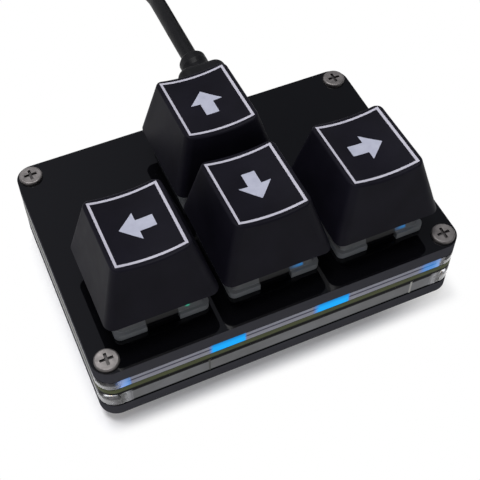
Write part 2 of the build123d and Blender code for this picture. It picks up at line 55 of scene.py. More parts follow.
scene.view_settings.view_transform = "Standard"
MM = 0.001

# Each key's name, and how far its arrow is turned from pointing to the back
key_turns = {"up": 0, "left": 90, "down": 180, "right": 270}

# Painted glint of each switch's light on its housing: start, end and half height in millimetres, and colour
glints = {
    "up": (2.3, 5.0, 0.5, "0A7CC4"),
    "left": (3.7, 4.6, 0.25, "1FC8A0"),
    "down": (2.3, 5.0, 0.5, "0A7CC4"),
    "right": (2.3, 4.6, 0.5, "0A7CC4"),
}

# The same for all glints, in millimetres: height above the flange, depth over which it fades behind the
# front, how far before its end it is full and how soft its ends are; and its full strength
glint_height = 0.8
glint_depth = (2.0, 1.5)
glint_full = 0.3
glint_soft = 0.15
glint_power = 0.6

# Sizes of the solids that the added pieces follow, in millimetres, quarter turns and degrees
keycap_top_length = 12.4
keycap_top_shift = 0.75
keycap_top_width = 14.5
keycap_front = 10.7
keycap_back = 9.95
dish_depth = 0.9
screw_head_radius = 2.0
screw_radius = 1.0
notch_width = 5.4
cable_radius = 1.65
coil_pitch = 4.8
coil_layer = 4.4
coil_middle = 19.25
coil_quarters = 13
climb_quarters = 2
coil_place = (34.65, 89.0)
coil_low = 2.65
lead_route = (
    (9.9, 43.35, 7.375),
    (9.9, 51.35, 7.375),
    (10.3, 61.35, 6.475),
    (10.9, 68.85, 4.575),
    (7.6, 80.5, 2.65),
    (7.6, 85.5, 2.65),
)
tail_route = (
    (7.6, 92.5, 7.05),
    (7.6, 100.5, 7.05),
    (15.06, 110.77, 7.645),
    (27.14, 114.7, 9.43),
    (39.22, 110.77, 12.11),
    (46.69, 100.5, 13.0),
    (46.69, 92.5, 13.0),
)
strap_angle = 230.0

# Sizes of the added pieces in millimetres, with their turns and steps, and how far a spring's ends close up
legend_length = 11.2
legend_width = 13.3
legend_line = 0.42
arrow_length = 5.6
arrow_width = 5.4
arrow_shaft = 2.2
arrow_head = 2.9
print_height = 0.03
print_step = 0.4
sheet_gap = 0.03
sheet_bevel = 0.06
thread_pitch = 0.4
thread_depth = 0.12
thread_steps = 12
spring_turns = 9
spring_steps = 20
spring_wire = 0.4
spring_closing = 0.12
strap_width = 5.6
strap_thickness = 0.7
strap_gap = 0.3
strap_round = 0.15
strap_steps = 6
strap_end = (13.0, 24.0)
strap_end_gap = 0.02
contact_strips = ((-3.5, 7.4), (-1.0, 6.4), (1.0, 6.4), (3.5, 7.4))
contact_width = 1.0
contact_thickness = 0.12
contact_setback = 0.8
contact_proud = 0.05

# Points of a mesh closer than this, in millimetres, are one; an edge that bends less than the first angle,
# in radians, is flat, and one that bends more than the second is sharp
same_point = 0.001
flat_edge = 0.01
sharp_edge = 1.1

# Clear sheets, in millimetres: where their corners start to turn glassy, how far that takes, how soft a
# seam is; then how clear and how rough their cut edges are, and how rough their glassy parts
glassy_corner = (26.5, 18.5)
glassy_fade = 2
seam_soft = 0.08
edge_clear = 0.25
edge_rough = 0.3
glassy_rough = 0.03

# Painted streaks along the lower front edge, in millimetres: place and half width of each; a painted dark
# streak where the rib inside shows through, and a painted highlight where a window corner catches light
rib_streak = (-13.7, 0.18)
window_streak = (23.0, 0.18)
streak_soft = 0.06

# Painted blue glow of the lights along the upper front edge, in millimetres: start, full and end of each,
# with its strength; how soft their ends are, how far in they fade, and their strength along the upper rim
blue_lights = (
    (-29.4, -27.3, -26.7, 0.5),
    (-13.8, -12.9, -7.4, 1.0),
    (4.2, 5.7, 10.9, 1.0),
    (23.7, 25.4, 27.9, 0.55),
)
light_soft = 0.25
light_depth = (0.6, 0.2)
light_rim = 0.7

# Other places that a material changes at, in millimetres: the black rim of the bottom sheet, the dark line
# of the board, the edge of a switch's tabs, its cover and the height of its painted shade above the flange,
# and the painted shade in the screws' recesses, out from the middle and down from the top; and the share of
# that painted shade on their walls
rim_band = 0.3
board_line = (0.4, 0.55)
tab_soft = 0.1
cover_step = (0.05, 0.15)
painted_shade_height = (3.0, 4.0)
recess_shade_radius = (1.3, 1.1)
recess_shade_depth = (-0.05, -0.25)
wall_shade = 0.15

# Camera in metres, degrees and millimetres, worked out from the keys, screws and sheet edges in the picture
camera_place = (-0.04028, -0.09427, 0.14454)
camera_turn = (36.388, 0.005, -23.864)
camera_lens = 73.31

# Floor: half its width in metres and, in millimetres, where the floor round the coil starts along the way
# to it, where all floor turns plain white, how far the case's shadow reaches and where it pales to the right
floor_reach = 4.0
coil_heading = (0.405, 0.914, 0.0)
coil_floor = (72, 78)
white_floor = (130, 260)
shadow_reach = 3.0
shadow_pales = (15, 38)

# Share of plain white in the floor round the coil, and in the case's shadow from left to right
coil_white = 0.56
shadow_white = (0.14, 0.75)

# Lamps: name, place and size in metres, and power in watts
lamps = (
    ("back_softbox", (-0.12, 0.16, 0.85), 0.3, 4.2),
    ("overhead_softbox", (-0.02, 0.08, 0.85), 0.5, 3.0),
)

# Where the room's ceiling starts and is full as a direction rises, and is dimmest as it turns to the right
ceiling_rise = {"From Min": 0.1, "From Max": 0.55}
ceiling_turn = {"From Max": 0.35}

# How much of a normal points up on a level face, or sideways on a short edge
level_turn = {"From Min": 0.75, "From Max": 0.95}
sideways_turn = {"From Min": 0.7, "From Max": 0.95}

# Values that noise mostly stays between
noise_range = {"From Min": 0.3, "From Max": 0.7}

# Settings that nodes share: a smooth step from one value to another, and a mix of two colours
smooth = {"interpolation_type": "SMOOTHSTEP"}
paint = {"data_type": "RGBA"}


def linear(code):
    """Linear colour of an sRGB hex code."""
    shares = [int(code[start:start + 2], 16) / 255 for start in (0, 2, 4)]
    levels = [share / 12.92 if share <= 0.04045 else ((share + 0.055) / 1.055) ** 2.4 for share in shares]
    return (*levels, 1.0)


def add(tree, kind, out, inputs=None, **settings):
    """Add a node with its settings and inputs, and return one of its outputs.

    An input is a number, a place, a hex code or another node's output, under its socket's name or number.
    A mix takes its share at socket 0, and two numbers at 2 and 3 or two colours at 6 and 7.
    """
    made = tree.nodes.new(f"ShaderNode{kind}")
    for name, value in settings.items():
        setattr(made, name, value)
    for socket, value in (inputs or {}).items():
        if isinstance(value, bpy.types.NodeSocket):
            tree.links.new(value, made.inputs[socket])
        else:
            made.inputs[socket].default_value = linear(value) if isinstance(value, str) else value
    return None if out is None else made.outputs[out]


def new_material(name):
    """New material with an empty tree: itself, its tree and the surface's own coordinates in metres."""
    made = bpy.data.materials.new(name)
    made.use_nodes = True
    tree = made.node_tree
    tree.nodes.clear()
    return made, tree, add(tree, "TexCoord", "Object")


def per_metre(size):
    """Texture scale for a pattern of a size in millimetres."""
    return 1 / (size * MM)


def span(start, end, base=0.0):
    """Settings of a step between two places in millimetres, counted from a base in metres."""
    return {"From Min": base + start * MM, "From Max": base + end * MM}


def mottled(tree, place, size, low, high):
    """Number that wanders between two values over patches of a size in millimetres."""
    noise = add(tree, "TexNoise", "Fac", {"Vector": place, "Scale": per_metre(size), "Detail": 3.0})
    return add(tree, "MapRange", 0, {"Value": noise, **noise_range, "To Min": low, "To Max": high})


def grained(tree, place, size, height):
    """Normal of a fine grain of a size and height in millimetres."""
    noise = add(tree, "TexNoise", "Fac", {"Vector": place, "Scale": per_metre(size), "Detail": 2.0})
    return add(tree, "Bump", 0, {"Height": noise, "Strength": 1.0, "Distance": height * MM})


def facing_up(tree):
    """One on level faces and nought on upright ones."""
    normal = add(tree, "NewGeometry", "Normal")
    upright = add(tree, "SeparateXYZ", "Z", {0: normal})
    level = add(tree, "Math", 0, {0: upright}, operation="ABSOLUTE")
    return add(tree, "MapRange", 0, {"Value": level, **level_turn}, **smooth)


def away_from(tree, value, middle, half, soft):
    """Nought within half a width of a middle value and one clear of it, with a soft step between.

    The middle is in metres, and the half width and its softness in millimetres.
    """
    off = add(tree, "Math", 0, {0: value, 1: middle}, operation="SUBTRACT")
    apart = add(tree, "Math", 0, {0: off}, operation="ABSOLUTE")
    return add(tree, "MapRange", 0, {"Value": apart, **span(half - soft, half + soft)}, **smooth)


def piece(name, mesh, material, body, slot, *replaced):
    """Object of a finished mesh, with its material, that rides on a body and may stand for solids."""
    made = bpy.data.objects.new(name, mesh)
    mesh.materials.clear()
    mesh.materials.append(material)
    scene.collection.objects.link(made)
    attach(made, body)
    if replaced:
        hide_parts(*replaced)
    return made


def finished_mesh(name, sketch):
    """Mesh of a sketch that is complete, which is then let go."""
    mesh = bpy.data.meshes.new(name)
    sketch.to_mesh(mesh)
    sketch.free()
    return mesh


def round_curve(name, kind, lines, radius, sides):
    """Curve of round wires along lines of points in metres, with their ends closed."""
    curve = bpy.data.curves.new(name, "CURVE")
    curve.dimensions = "3D"
    curve.bevel_depth = radius
    curve.bevel_resolution = sides
    curve.use_fill_caps = True
    for line in lines:
        spline = curve.splines.new(kind)
        spline.points.add(len(line) - 1)
        for point, place in zip(spline.points, line):
            point.co = (*place, 1)
    return curve


def wire_mesh(name, lines, radius, sides=2):
    """Mesh of round wires along lines of points in metres."""
    curve = round_curve(name, "POLY", lines, radius, sides)
    holder = bpy.data.objects.new(name, curve)
    mesh = bpy.data.meshes.new_from_object(holder)
    bpy.data.objects.remove(holder)
    bpy.data.curves.remove(curve)
    mesh.name = name
    mesh.shade_smooth()
    return mesh


# Floor, light and camera
def white_card_table():
    """Smooth white card: no gloss and a trace of unevenness, with a soft pale shadow.

    Seen directly, in metal or through glass it is plain white background, except in the shadow close
    round the case and, in part, about the coiled lead.
    """
    made, tree, place = new_material("white card table")
    patch = mottled(tree, place, 40, 0, 1)
    tint = add(tree, "Mix", 2, {0: patch, 6: "FAFAFB", 7: "FFFFFF"}, **paint)
    card = add(tree, "BsdfPrincipled", 0, {"Base Color": tint, "Roughness": 0.9, "Specular IOR Level": 0.0})
    # How far behind the case a place lies, on the way to the coil
    behind = add(tree, "VectorMath", 1, {0: place, 1: coil_heading}, operation="DOT_PRODUCT")
    beyond = add(tree, "MapRange", 0, {"Value": behind, **span(*coil_floor)}, **smooth)
    # How far it lies outside the outline of the case
    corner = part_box("bottom_plate")[1]
    aside = add(tree, "VectorMath", 0, {0: place}, operation="ABSOLUTE")
    past = add(tree, "VectorMath", 0, {0: aside, 1: (corner.x, corner.y, 0)}, operation="SUBTRACT")
    outside = add(tree, "VectorMath", 0, {0: past, 1: (0, 0, 0)}, operation="MAXIMUM")
    gap = add(tree, "VectorMath", 1, {0: outside}, operation="LENGTH")
    # The shadow is palest at the right-hand end of the case
    across = add(tree, "SeparateXYZ", "X", {0: place})
    whites = {"To Min": shadow_white[0], "To Max": shadow_white[1]}
    least = add(tree, "MapRange", 0, {"Value": across, **span(*shadow_pales), **whites}, **smooth)
    ends = {**span(0, shadow_reach), "To Min": least}
    clear_of = add(tree, "MapRange", 0, {"Value": gap, **ends}, **smooth)
    near = add(tree, "Mix", 0, {0: beyond, 2: clear_of, 3: coil_white})
    away = add(tree, "VectorMath", 1, {0: place}, operation="LENGTH")
    far = add(tree, "MapRange", 0, {"Value": away, **span(*white_floor)}, **smooth)
    share = add(tree, "Math", 0, {0: near, 1: far}, operation="MAXIMUM")
    seen = add(tree, "LightPath", "Is Camera Ray")
    for ray in ("Is Glossy Ray", "Is Transmission Ray"):
        seen = add(tree, "Math", 0, {0: seen, 1: add(tree, "LightPath", ray)}, operation="MAXIMUM")
    shown = add(tree, "Math", 0, {0: share, 1: seen}, operation="MULTIPLY")
    white = add(tree, "Emission", 0, {"Color": "FFFFFF", "Strength": 1.0})
    surface = add(tree, "MixShader", 0, {0: shown, 1: card, 2: white})
    add(tree, "OutputMaterial", None, {"Surface": surface})
    return made


def make_stage():
    """White table, a pale room that dims overhead and to the right, soft lamps and the camera."""
    corners = [(x * floor_reach, y * floor_reach, 0) for x, y in ((-1, -1), (1, -1), (1, 1), (-1, 1))]
    table_mesh = bpy.data.meshes.new("table")
    table_mesh.from_pydata(corners, [], [(0, 1, 2, 3)])
    table_mesh.materials.append(white_card_table())
    table = bpy.data.objects.new("table", table_mesh)
    scene.collection.objects.link(table)

    world = bpy.data.worlds.new("pale room")
    scene.world = world
    world.use_nodes = True
    room = world.node_tree
    room.nodes.clear()
    direction = add(room, "TexCoord", "Generated")
    rise = add(room, "SeparateXYZ", "Z", {0: direction})
    climb = add(room, "MapRange", 0, {"Value": rise, **ceiling_rise}, **smooth)
    aside = add(room, "SeparateXYZ", "X", {0: direction})
    turn = add(room, "MapRange", 0, {"Value": aside, **ceiling_turn}, **smooth)
    ceiling = add(room, "Mix", 2, {0: turn, 6: "8C8D96", 7: "65676E"}, **paint)
    shade = add(room, "Mix", 2, {0: climb, 6: "FFFFFF", 7: ceiling}, **paint)
    light = add(room, "Background", 0, {"Color": shade, "Strength": 1.0})
    add(room, "OutputWorld", None, {"Surface": light})

    for name, place, size, power in lamps:
        lamp = bpy.data.lights.new(name, "AREA")
        lamp.size = size
        lamp.energy = power
        holder = bpy.data.objects.new(name, lamp)
        holder.location = place
        holder.rotation_euler = (-Vector(place)).to_track_quat("-Z", "Y").to_euler()
        scene.collection.objects.link(holder)

    lens = bpy.data.cameras.new("camera")
    lens.lens = camera_lens
    lens.clip_start = 0.01
    camera = bpy.data.objects.new("camera", lens)
    camera.location = camera_place
    camera.rotation_euler = [math.radians(angle) for angle in camera_turn]
    scene.collection.objects.link(camera)
    scene.camera = camera


# Materials
def black_cast_acrylic():
    """Black acrylic sheet: polished faces that mirror the keys, and sawn edges that are dull and silky."""
    made, tree, place = new_material("black cast acrylic")
    face = facing_up(tree)
    # The bottom sheet's edge stays black along its upper rim
    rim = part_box("bottom_plate")[1].z
    height = add(tree, "SeparateXYZ", "Z", {0: place})
    clear_of = away_from(tree, height, rim, rim_band, seam_soft)
    edge = add(tree, "Mix", 2, {0: clear_of, 6: "030304", 7: "39393D"}, **paint)
    colour = add(tree, "Mix", 2, {0: face, 6: edge, 7: "060608"}, **paint)
    # Saw marks run up the edges about every 0.15 mm; they are drawn twice as wide so that they show
    stretch = (per_metre(0.3), per_metre(0.3), per_metre(6))
    marks = add(tree, "VectorMath", 0, {0: place, 1: stretch}, operation="MULTIPLY")
    saw = add(tree, "TexNoise", "Fac", {"Vector": marks, "Scale": 1.0, "Detail": 1.0})
    # The faces are even, at the middle of the marks' depth
    depth = add(tree, "Mix", 0, {0: face, 2: saw, 3: 0.5})
    normal = add(tree, "Bump", 0, {"Height": depth, "Strength": 0.5, "Distance": 0.02 * MM})
    # The polish is a coat on the faces alone: a sawn edge scatters what it would mirror
    finish = {"Roughness": 0.42, "Specular IOR Level": 0.0, "IOR": 1.49, "Normal": normal}
    polish = {"Coat Weight": face, "Coat Roughness": 0.05, "Coat IOR": 1.49}
    surface = add(tree, "BsdfPrincipled", 0, {"Base Color": colour, **finish, **polish})
    add(tree, "OutputMaterial", None, {"Surface": surface})
    return made


def cut_clear_sheet(tree, place, node, hazes, dark, seams):
    """Shader inputs of a clear acrylic sheet: glassy faces and corners, and hazy edges with dark seams.

    Each seam is a share of the sheet's height, and half its width in millimetres.
    """
    low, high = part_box(node)
    face = facing_up(tree)
    sides = 1.0
    for axis, start in zip("XY", glassy_corner):
        along = add(tree, "SeparateXYZ", axis, {0: place})
        aside = add(tree, "Math", 0, {0: along}, operation="ABSOLUTE")
        step = add(tree, "MapRange", 0, {"Value": aside, **span(start, start + glassy_fade)}, **smooth)
        sides = add(tree, "Math", 0, {0: sides, 1: step}, operation="MULTIPLY")
    glassy = add(tree, "Math", 0, {0: face, 1: sides}, operation="MAXIMUM")
    colour = add(tree, "Mix", 2, {0: mottled(tree, place, 6, 0, 1), 6: hazes[0], 7: hazes[1]}, **paint)
    # Painted shade on the two short edges, which have the dark switches close behind them
    sideways = add(tree, "SeparateXYZ", "X", {0: add(tree, "NewGeometry", "Normal")})
    turned = add(tree, "Math", 0, {0: sideways}, operation="ABSOLUTE")
    short = add(tree, "MapRange", 0, {"Value": turned, **sideways_turn}, **smooth)
    colour = add(tree, "Mix", 2, {0: short, 6: colour, 7: "59595C"}, **paint)
    clear = edge_clear
    height = add(tree, "SeparateXYZ", "Z", {0: place})
    for share, half in seams:
        level = low.z + (high.z - low.z) * share
        clear_of = away_from(tree, height, level, half, seam_soft)
        colour = add(tree, "Mix", 2, {0: clear_of, 6: dark, 7: colour}, **paint)
        clear = add(tree, "Math", 0, {0: clear_of, 1: clear}, operation="MULTIPLY")
    colour = add(tree, "Mix", 2, {0: glassy, 6: colour, 7: "F4F4F8"}, **paint)
    clear = add(tree, "Mix", 0, {0: glassy, 2: clear, 3: 1.0})
    rough = add(tree, "Mix", 0, {0: glassy, 2: edge_rough, 3: glassy_rough})
    body = {"IOR": 1.49, "Specular IOR Level": 0.03, "Transmission Weight": clear}
    return {"Base Color": colour, "Roughness": rough, **body}


def lit_clear_acrylic():
    """The upper clear sheet: a painted blue glow on its front edge where the lights behind it shine through.
    """
    made, tree, place = new_material("lit clear acrylic")
    low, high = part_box("upper_spacer")
    hazes = ("888995", "93939C")
    seams = [(0.56, 0.2)]
    inputs = cut_clear_sheet(tree, place, "upper_spacer", hazes, "45434F", seams)
    along = add(tree, "SeparateXYZ", "X", {0: place})
    lit = 0.0
    for start, full, end, power in blue_lights:
        grow = add(tree, "MapRange", 0, {"Value": along, **span(start, full), "To Max": power}, **smooth)
        ends = span(end + light_soft, end - light_soft)
        stop = add(tree, "MapRange", 0, {"Value": along, **ends}, **smooth)
        block = add(tree, "Math", 0, {0: grow, 1: stop}, operation="MULTIPLY")
        lit = add(tree, "Math", 0, {0: lit, 1: block}, operation="ADD")
    depth = add(tree, "SeparateXYZ", "Y", {0: place})
    front = add(tree, "MapRange", 0, {"Value": depth, **span(*light_depth, low.y)}, **smooth)
    lit = add(tree, "Math", 0, {0: lit, 1: front}, operation="MULTIPLY")
    # The painted glow is dimmest along the edge's upper rim, because the lights stand on the board below
    height = add(tree, "SeparateXYZ", "Z", {0: place})
    ends = {"From Min": high.z, "From Max": (low.z + high.z) / 2, "To Min": light_rim}
    climb = add(tree, "MapRange", 0, {"Value": height, **ends}, **smooth)
    strength = add(tree, "Math", 0, {0: lit, 1: climb}, operation="MULTIPLY")
    inputs["Base Color"] = add(tree, "Mix", 2, {0: lit, 6: inputs["Base Color"], 7: "02182C"}, **paint)
    clear = inputs["Transmission Weight"]
    inputs["Transmission Weight"] = add(tree, "Mix", 0, {0: lit, 2: clear, 3: 0.0})
    # The painted glow is a deeper blue where it is weak
    tint = add(tree, "Mix", 2, {0: strength, 6: "0078EC", 7: "00A8F8"}, **paint)
    glow = {"Emission Color": tint, "Emission Strength": strength}
    surface = add(tree, "BsdfPrincipled", 0, {**inputs, **glow})
    add(tree, "OutputMaterial", None, {"Surface": surface})
    return made


def dim_clear_acrylic():
    """The lower clear sheet: unlit, so its edge is a dull grey in which its inner corners show, two as
    painted streaks.
    """
    made, tree, place = new_material("dim clear acrylic")
    hazes = ("656565", "747577")
    seams = [(0.0, 0.3), (1.0, 0.55)]
    inputs = cut_clear_sheet(tree, place, "lower_spacer", hazes, "09090A", seams)
    along = add(tree, "SeparateXYZ", "X", {0: place})
    # Painted shade where the rib shows through, and a painted highlight where a window corner does
    for (spot, half), tint in ((rib_streak, "4A4A46"), (window_streak, "A9A8A2")):
        clear_of = away_from(tree, along, spot * MM, half, streak_soft)
        inputs["Base Color"] = add(tree, "Mix", 2, {0: clear_of, 6: tint, 7: inputs["Base Color"]}, **paint)
    surface = add(tree, "BsdfPrincipled", 0, inputs)
    add(tree, "OutputMaterial", None, {"Surface": surface})
    return made


def board_laminate():
    """Glass laminate under black solder mask: satin faces, olive cut edges with a dark line below."""
    made, tree, place = new_material("board laminate")
    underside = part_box("circuit_board")[0].z
    face = facing_up(tree)
    height = add(tree, "SeparateXYZ", "Z", {0: place})
    above = add(tree, "MapRange", 0, {"Value": height, **span(*board_line, underside)}, **smooth)
    # Glass plies show as faint lines 0.2 mm apart along the cut
    plies = (per_metre(3), per_metre(3), per_metre(0.2))
    layers = add(tree, "VectorMath", 0, {0: place, 1: plies}, operation="MULTIPLY")
    ply = add(tree, "TexNoise", "Fac", {"Vector": layers, "Scale": 1.0, "Detail": 2.0})
    olive = add(tree, "Mix", 2, {0: ply, 6: "3B3F28", 7: "53573A"}, **paint)
    edge = add(tree, "Mix", 2, {0: above, 6: "070706", 7: olive}, **paint)
    colour = add(tree, "Mix", 2, {0: face, 6: edge, 7: "0E100E"}, **paint)
    gloss = mottled(tree, place, 1.5, 0.4, 0.55)
    finish = {"Roughness": gloss, "Specular IOR Level": 0.03, "IOR": 1.55}
    surface = add(tree, "BsdfPrincipled", 0, {"Base Color": colour, **finish})
    add(tree, "OutputMaterial", None, {"Surface": surface})
    return made


def keycap_plastic():
    """Moulded black ABS with a fine spark-eroded grain: matt, with a soft sheen at a low angle."""
    made, tree, place = new_material("grained black ABS")
    colour = add(tree, "Mix", 2, {0: mottled(tree, place, 6, 0, 1), 6: "0D0C13", 7: "13121A"}, **paint)
    # The grain is about 0.1 mm across; it is drawn at 0.3 mm so that it shows
    normal = grained(tree, place, 0.3, 0.006)
    gloss = mottled(tree, place, 4, 0.46, 0.54)
    finish = {"Roughness": gloss, "Specular IOR Level": 0.05, "IOR": 1.54, "Normal": normal}
    surface = add(tree, "BsdfPrincipled", 0, {"Base Color": colour, **finish})
    add(tree, "OutputMaterial", None, {"Surface": surface})
    return made


def printed_ink(name, light, dark):
    """Pad-printed white ink: thin, flat and a little uneven."""
    made, tree, place = new_material(name)
    colour = add(tree, "Mix", 2, {0: mottled(tree, place, 1.2, 0, 1), 6: dark, 7: light}, **paint)
    finish = {"Roughness": 0.55, "IOR": 1.5, "Normal": grained(tree, place, 0.3, 0.003)}
    surface = add(tree, "BsdfPrincipled", 0, {"Base Color": colour, **finish})
    add(tree, "OutputMaterial", None, {"Surface": surface})
    return made


def switch_glint(tree, place, along, low, high, glint):
    """Strength of a painted glint of light on a switch's front, above its right-hand tab, growing
    rightwards.
    """
    start, end, half = glint
    grows = {**span(start, end - glint_full), "To Max": glint_power}
    glow = add(tree, "MapRange", 0, {"Value": along, **grows}, **smooth)
    height = add(tree, "SeparateXYZ", "Z", {0: place})
    off = add(tree, "Math", 0, {0: height, 1: high.z + glint_height * MM}, operation="SUBTRACT")
    apart = add(tree, "Math", 0, {0: off}, operation="ABSOLUTE")
    depth = add(tree, "SeparateXYZ", "Y", {0: place})
    limits = (
        (along, span(end + glint_soft, end - glint_soft)),
        (apart, span(half + glint_soft, half - glint_soft)),
        (depth, span(*glint_depth, low.y)),
    )
    for value, ends in limits:
        within = add(tree, "MapRange", 0, {"Value": value, **ends}, **smooth)
        glow = add(tree, "Math", 0, {0: glow, 1: within}, operation="MULTIPLY")
    return glow


def smoked_polycarbonate(key):
    """Smoky switch housing: half clear, painted shade low down between its tabs, and a painted glint of its
    light.
    """
    made, tree, place = new_material(f"smoked polycarbonate {key}")
    low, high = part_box(f"{key}_switch_base")
    across = add(tree, "SeparateXYZ", "X", {0: place})
    along = add(tree, "Math", 0, {0: across, 1: (low.x + high.x) / 2}, operation="SUBTRACT")
    tab = away_from(tree, across, (low.x + high.x) / 2, notch_width / 2, tab_soft)
    grey = add(tree, "Mix", 2, {0: mottled(tree, place, 3, 0, 1), 6: "7E8184", 7: "8E9194"}, **paint)
    # Painted highlight on the flange's top, and painted shade on the cover behind it
    grey = add(tree, "Mix", 2, {0: facing_up(tree), 6: grey, 7: "ACAFB0"}, **paint)
    height = add(tree, "SeparateXYZ", "Z", {0: place})
    cover = add(tree, "MapRange", 0, {"Value": height, **span(*cover_step, high.z)}, **smooth)
    grey = add(tree, "Mix", 2, {0: cover, 6: grey, 7: "5C5E60"}, **paint)
    # Painted shade: dark between the tabs, from the flange up to under the keycap
    above = add(tree, "MapRange", 0, {"Value": height, **span(*painted_shade_height, high.z)}, **smooth)
    pale = add(tree, "Math", 0, {0: tab, 1: above}, operation="MAXIMUM")
    colour = add(tree, "Mix", 2, {0: pale, 6: "0A0A0C", 7: grey}, **paint)
    # Painted glint: a glow on the housing, with its base colour darkened to a deep blue under it
    *glint, tint = glints[key]
    glow = switch_glint(tree, place, along, low, high, glint)
    colour = add(tree, "Mix", 2, {0: glow, 6: colour, 7: "04222F"}, **paint)
    body = {"Roughness": 0.28, "IOR": 1.58, "Specular IOR Level": 0.15, "Transmission Weight": 0.3}
    light = {"Emission Color": tint, "Emission Strength": glow}
    surface = add(tree, "BsdfPrincipled", 0, {"Base Color": colour, **body, **light})
    add(tree, "OutputMaterial", None, {"Surface": surface})
    return made


def moulded_plastic(name, low, high, rough, grain, sheen=0.5):
    """Plain moulded plastic or rubber: an even, dull to satin surface with a faint grain."""
    made, tree, place = new_material(name)
    colour = add(tree, "Mix", 2, {0: mottled(tree, place, 5, 0, 1), 6: low, 7: high}, **paint)
    gloss = mottled(tree, place, 3, rough - 0.05, rough + 0.05)
    normal = grained(tree, place, 0.35, grain)
    finish = {"Roughness": gloss, "Specular IOR Level": sheen, "IOR": 1.5, "Normal": normal}
    surface = add(tree, "BsdfPrincipled", 0, {"Base Color": colour, **finish})
    add(tree, "OutputMaterial", None, {"Surface": surface})
    return made


def plated_metal(name, low, high, rough):
    """Bright plated or drawn metal: an even satin gleam with the faintest handling marks."""
    made, tree, place = new_material(name)
    colour = add(tree, "Mix", 2, {0: mottled(tree, place, 1.2, 0, 1), 6: low, 7: high}, **paint)
    gloss = mottled(tree, place, 2.5, rough - 0.02, rough + 0.03)
    finish = {"Metallic": 1.0, "Roughness": gloss, "Normal": grained(tree, place, 1.5, 0.0004)}
    surface = add(tree, "BsdfPrincipled", 0, {"Base Color": colour, **finish})
    add(tree, "OutputMaterial", None, {"Surface": surface})
    return made


def screw_steel():
    """Nickel-plated steel screws: soft grey gleam, and painted shade on the floor of the cross recesses."""
    made, tree, place = new_material("nickel plated steel")
    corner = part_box("case_screws")[1]
    inset = screw_head_radius * MM
    axis = (corner.x - inset, corner.y - inset, 0)
    # The four corners are mirrored onto one
    mirrored = add(tree, "VectorMath", 0, {0: place}, operation="ABSOLUTE")
    off = add(tree, "VectorMath", 0, {0: mirrored, 1: axis}, operation="SUBTRACT")
    level = add(tree, "VectorMath", 0, {0: off, 1: (1, 1, 0)}, operation="MULTIPLY")
    far = add(tree, "VectorMath", 1, {0: level}, operation="LENGTH")
    # Painted shade deep in each cross recess, full on its floor and weaker on its walls
    middle = add(tree, "MapRange", 0, {"Value": far, **span(*recess_shade_radius)}, **smooth)
    height = add(tree, "SeparateXYZ", "Z", {0: place})
    deep = add(tree, "MapRange", 0, {"Value": height, **span(*recess_shade_depth, corner.z)}, **smooth)
    recess_shade = add(tree, "Math", 0, {0: deep, 1: middle}, operation="MULTIPLY")
    floor = add(tree, "MapRange", 0, {"Value": facing_up(tree), "To Min": wall_shade})
    recess_shade = add(tree, "Math", 0, {0: recess_shade, 1: floor}, operation="MULTIPLY")
    plate = add(tree, "Mix", 2, {0: mottled(tree, place, 1.2, 0, 1), 6: "666362", 7: "7B7776"}, **paint)
    colour = add(tree, "Mix", 2, {0: recess_shade, 6: plate, 7: "454343"}, **paint)
    gloss = mottled(tree, place, 0.8, 0.46, 0.6)
    finish = {"Metallic": 1.0, "Roughness": gloss, "Normal": grained(tree, place, 0.25, 0.004)}
    surface = add(tree, "BsdfPrincipled", 0, {"Base Color": colour, **finish})
    add(tree, "OutputMaterial", None, {"Surface": surface})
    return made


def blue_led_resin():
    """Clear resin over a lit blue chip: a strong blue that is a little brighter here and there."""
    made, tree, place = new_material("lit blue resin")
    glow = {"Emission Color": "0A80FF", "Emission Strength": mottled(tree, place, 1.5, 3.0, 5.0)}
    surface = add(tree, "BsdfPrincipled", 0, {"Base Color": "5FA8E8", "Roughness": 0.2, **glow})
    add(tree, "OutputMaterial", None, {"Surface": surface})
    return made


def woven_strap():
    """Black hook-and-loop strap: a close weave of nylon threads."""
    made, tree, place = new_material("woven nylon strap")
    # The threads are 0.25 mm apart; they are drawn at 0.8 mm so that they show. A diagonal wave of scale
    # one repeats every fifth of pi
    threads = {"Vector": place, "Scale": per_metre(0.8) * math.pi / 5, "Distortion": 1.5, "Detail": 1.0}
    weave = add(tree, "TexWave", "Fac", threads, bands_direction="DIAGONAL")
    colour = add(tree, "Mix", 2, {0: weave, 6: "0C0C0E", 7: "222226"}, **paint)
    normal = add(tree, "Bump", 0, {"Height": weave, "Strength": 0.8, "Distance": 0.06 * MM})
    finish = {"Roughness": 0.8, "Sheen Weight": 0.3, "Normal": normal}
    surface = add(tree, "BsdfPrincipled", 0, {"Base Color": colour, **finish})
    add(tree, "OutputMaterial", None, {"Surface": surface})
    return made


# Pieces
def coil_corners():
    """Corners of the winding, sixteen to a turn: in along the lower layer, up, and out along the upper."""
    per_quarter = 4
    turn = math.pi / 2 / per_quarter
    outer = coil_middle + coil_pitch * coil_quarters / 8
    inner = coil_middle - coil_pitch * coil_quarters / 8
    layer = coil_quarters * per_quarter
    climb = climb_quarters * per_quarter
    corners = []
    for corner in range(2 * layer + climb):
        wound = corner + 0.5
        angle = math.pi - wound * turn
        inward = min(wound, layer) - max(wound - layer - climb, 0)
        radius = (outer - (outer - inner) * inward / layer) / math.cos(turn / 2)
        climbed = min(max((wound - layer) / climb, 0), 1)
        height = coil_low + coil_layer * (1 - math.cos(math.pi * climbed)) / 2
        x = coil_place[0] + radius * math.cos(angle)
        y = coil_place[1] + radius * math.sin(angle)
        corners.append((x, y, height))
    return corners


